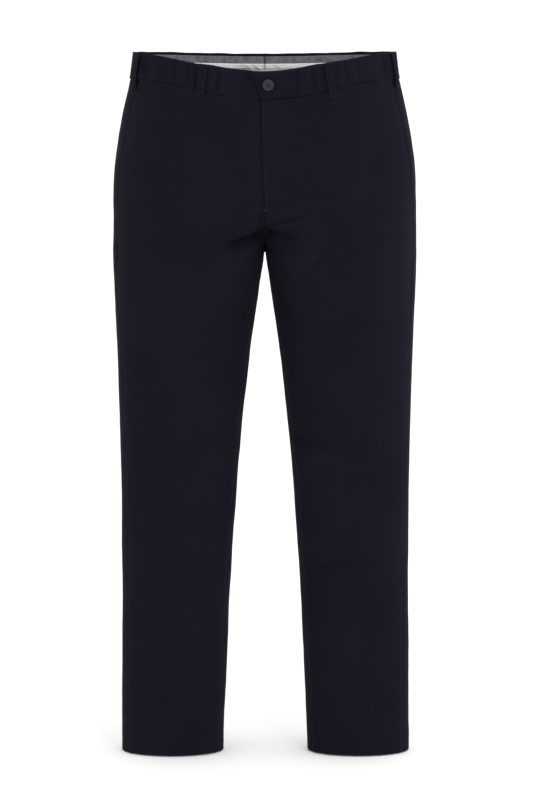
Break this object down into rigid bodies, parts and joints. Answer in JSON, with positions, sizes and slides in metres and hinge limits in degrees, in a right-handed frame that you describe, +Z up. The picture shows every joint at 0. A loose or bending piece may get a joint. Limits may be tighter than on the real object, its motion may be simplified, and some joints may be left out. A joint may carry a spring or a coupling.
{
  "type": "dress trousers",
  "caption": "Dark navy cotton twill dress trousers with a buttoned waistband, fly, belt loops, slanted side pockets and straight tapered legs, standing filled out and open at waist and hems.",
  "frame": {"origin": "middle of the waist ring, at half the waistband's height at the sides, where the wearer's waist holds the garment", "axes": "+Z up along the garment, +X to the wearer's left, -Y to the front"},
  "size_m": [0.4688, 0.2635, 1.0901],
  "materials": {
    "navy_twill": "matt fine cotton twill, very dark navy, with a faint sheen towards the edges",
    "grey_chambray": "matt plain weave, grey with white crossing threads",
    "white_tape": "matt white woven tape",
    "beige_lining": "matt fine plain weave, pale beige",
    "dark_button": "satin dark blue-grey resin"
  },
  "bodies": {
    "root": {"front_left": "navy_twill", "front_right": "navy_twill", "back_left": "navy_twill", "back_right": "navy_twill", "pocket_facing_left": "navy_twill", "pocket_facing_right": "navy_twill", "waistband_left": "navy_twill", "waistband_right": "navy_twill", "belt_loop_front_left": "navy_twill", "belt_loop_front_right": "navy_twill", "belt_loop_side_left": "navy_twill", "belt_loop_side_right": "navy_twill", "belt_loop_back_left": "navy_twill", "belt_loop_back_right": "navy_twill", "belt_loop_back_centre": "navy_twill", "waist_facing_left": "grey_chambray", "waist_facing_right": "grey_chambray", "waist_piping_left": "white_tape", "waist_piping_right": "white_tape", "waist_curtain_left": "beige_lining", "waist_curtain_right": "beige_lining", "button": "dark_button"}
  },
  "joints": []
}
